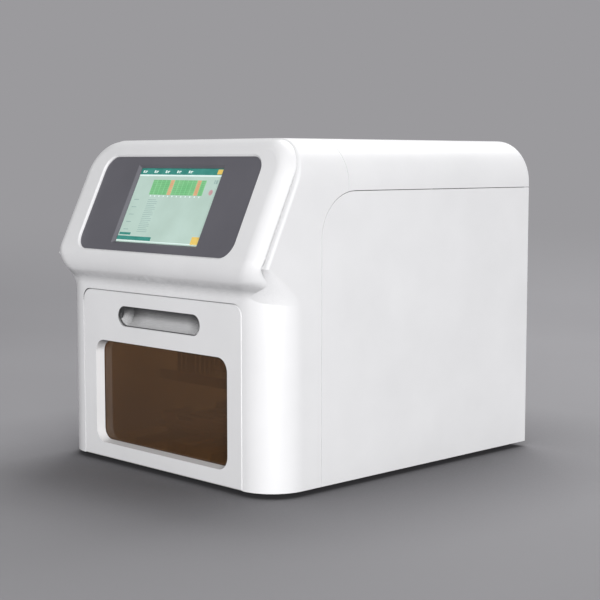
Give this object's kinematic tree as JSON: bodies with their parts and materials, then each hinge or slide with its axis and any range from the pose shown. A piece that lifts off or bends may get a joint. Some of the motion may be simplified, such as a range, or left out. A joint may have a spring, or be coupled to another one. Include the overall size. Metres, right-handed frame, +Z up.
{
  "type": "nucleic acid extractor",
  "caption": "Bench instrument with a sloped touch-screen fascia, a drop-down windowed door, and a magnetic-rod head over a sliding plate stage.",
  "frame": {"origin": "on the bench under the middle of the whole object, feet at z = 0", "axes": "+Z up, the door and screen face -Y, +X to the right as seen from the front"},
  "size_m": [0.384, 0.464, 0.391],
  "materials": {
    "shell_white": "moulded ABS, pearl white, fine gloss",
    "panel_grey": "moulded ABS, dark grey, satin",
    "screen": "hard-coated touch glass over a lit display",
    "display_metal": "tinned steel frame",
    "zinc_steel": "zinc-plated sheet steel",
    "pan_paint": "powder-coated sheet steel",
    "chamber_paint": "powder-coated sheet steel, pale grey",
    "foot_rubber": "moulded rubber",
    "seal_rubber": "extruded rubber",
    "pane_acrylic": "smoked brown acrylic",
    "liner_white": "moulded ABS, satin",
    "magnet": "nickel-plated magnet",
    "pin_steel": "ground steel",
    "lamp_glass": "quartz glass tube with metal caps",
    "holder_plastic": "moulded polycarbonate",
    "rail_steel": "hardened ground steel",
    "screw_steel": "rolled steel screw",
    "rod_steel": "stainless-sleeved magnetic rods",
    "bronze": "sintered bronze",
    "anodised": "machined and clear-anodised aluminium",
    "heater_metal": "machined aluminium, hard anodised",
    "nest_plastic": "machined acetal",
    "motor_black": "laminated motor stack with black end bells",
    "fan_plastic": "moulded glass-filled PBT",
    "guard_steel": "nickel-plated pressed steel",
    "inlet_plastic": "moulded nylon with plated blades",
    "rocker_plastic": "moulded nylon",
    "board_green": "glass-epoxy circuit board",
    "port_metal": "nickel-plated shells",
    "supply_metal": "perforated aluminium case"
  },
  "bodies": {
    "housing": {"front_shell": "shell_white", "top_cover": "shell_white", "side_panel_right": "shell_white", "side_panel_left": "shell_white", "base_pan": "pan_paint", "rubber_feet": "foot_rubber", "rear_panel": "pan_paint", "control_panel": "panel_grey", "touch_glass": "screen", "display_module": "display_metal", "display_bracket": "zinc_steel", "magnet_catches": "zinc_steel", "door_seal": "seal_rubber", "hinge_brackets": "zinc_steel", "hinge_pins": "pin_steel", "chamber_floor": "chamber_paint", "chamber_wall_right": "chamber_paint", "chamber_wall_left": "chamber_paint", "chamber_back": "chamber_paint", "chamber_ceiling": "chamber_paint", "uv_lamp": "lamp_glass", "lamp_holders": "holder_plastic", "stage_rails": "rail_steel", "stage_bearing": "anodised", "stage_motor": "motor_black", "lift_tower": "chamber_paint", "lift_rails": "rail_steel", "lift_motor": "motor_black", "lift_bearing": "anodised", "fan_frame": "fan_plastic", "fan_guard": "guard_steel", "ac_inlet": "inlet_plastic", "switch_frame": "inlet_plastic", "main_board": "board_green", "port_block": "port_metal", "power_supply": "supply_metal"},
    "door": {"door_shell": "shell_white", "door_liner": "liner_white", "window_pane": "pane_acrylic", "window_gasket": "seal_rubber", "door_magnets": "magnet"},
    "stage": {"stage_plate": "anodised", "stage_guides": "rail_steel", "stage_nut": "bronze", "heater_blocks": "heater_metal", "plate_nests": "nest_plastic"},
    "stage_drive": {"stage_screw": "screw_steel"},
    "lift": {"sleeve_carrier": "anodised", "lift_guides": "rail_steel", "lift_nut": "bronze", "rod_motor": "motor_black", "rod_guides": "pin_steel"},
    "lift_drive": {"lift_screw": "screw_steel"},
    "rod_head": {"rod_plate": "anodised", "magnetic_rods": "rod_steel", "rod_bushes": "bronze"},
    "rod_drive": {"rod_screw": "screw_steel"},
    "fan": {"fan_rotor": "fan_plastic"},
    "switch": {"power_rocker": "rocker_plastic"}
  },
  "joints": [
    {"name": "door_swing", "type": "hinge", "parent": "housing", "child": "door", "pos_m": [0, -0.207, 0.015], "axis": [1, 0, 0], "range_deg": [0, 90]},
    {"name": "stage_slide", "type": "slide", "parent": "housing", "child": "stage", "axis": [0, -1, 0], "range_m": [0, 0.045]},
    {"name": "stage_screw_spin", "type": "hinge", "parent": "housing", "child": "stage_drive", "pos_m": [0, -0.05, 0.029], "axis": [0, 1, 0], "range_deg": [-2160, 2160]},
    {"name": "lift_slide", "type": "slide", "parent": "housing", "child": "lift", "axis": [0, 0, 1], "range_m": [0, 0.055]},
    {"name": "lift_screw_spin", "type": "hinge", "parent": "housing", "child": "lift_drive", "pos_m": [0, 0.046, 0.2], "axis": [0, 0, 1], "range_deg": [-2880, 2880]},
    {"name": "rod_slide", "type": "slide", "parent": "lift", "child": "rod_head", "axis": [0, 0, -1], "range_m": [0, 0.05]},
    {"name": "rod_screw_spin", "type": "hinge", "parent": "lift", "child": "rod_drive", "pos_m": [0, 0.01, 0.15], "axis": [0, 0, 1], "range_deg": [-2880, 2880]},
    {"name": "fan_spin", "type": "hinge", "parent": "housing", "child": "fan", "pos_m": [0.095, 0.214, 0.29], "axis": [0, 1, 0], "continuous": true},
    {"name": "power_rocker_tilt", "type": "hinge", "parent": "housing", "child": "switch", "pos_m": [-0.088, 0.226, 0.092], "axis": [1, 0, 0], "range_deg": [0, 18]}
  ],
  "couplings": [
    {"joint": "stage_screw_spin", "follows": "stage_slide", "rad_per_m": 785.4},
    {"joint": "lift_screw_spin", "follows": "lift_slide", "rad_per_m": 785.4},
    {"joint": "rod_screw_spin", "follows": "rod_slide", "rad_per_m": 785.4}
  ]
}
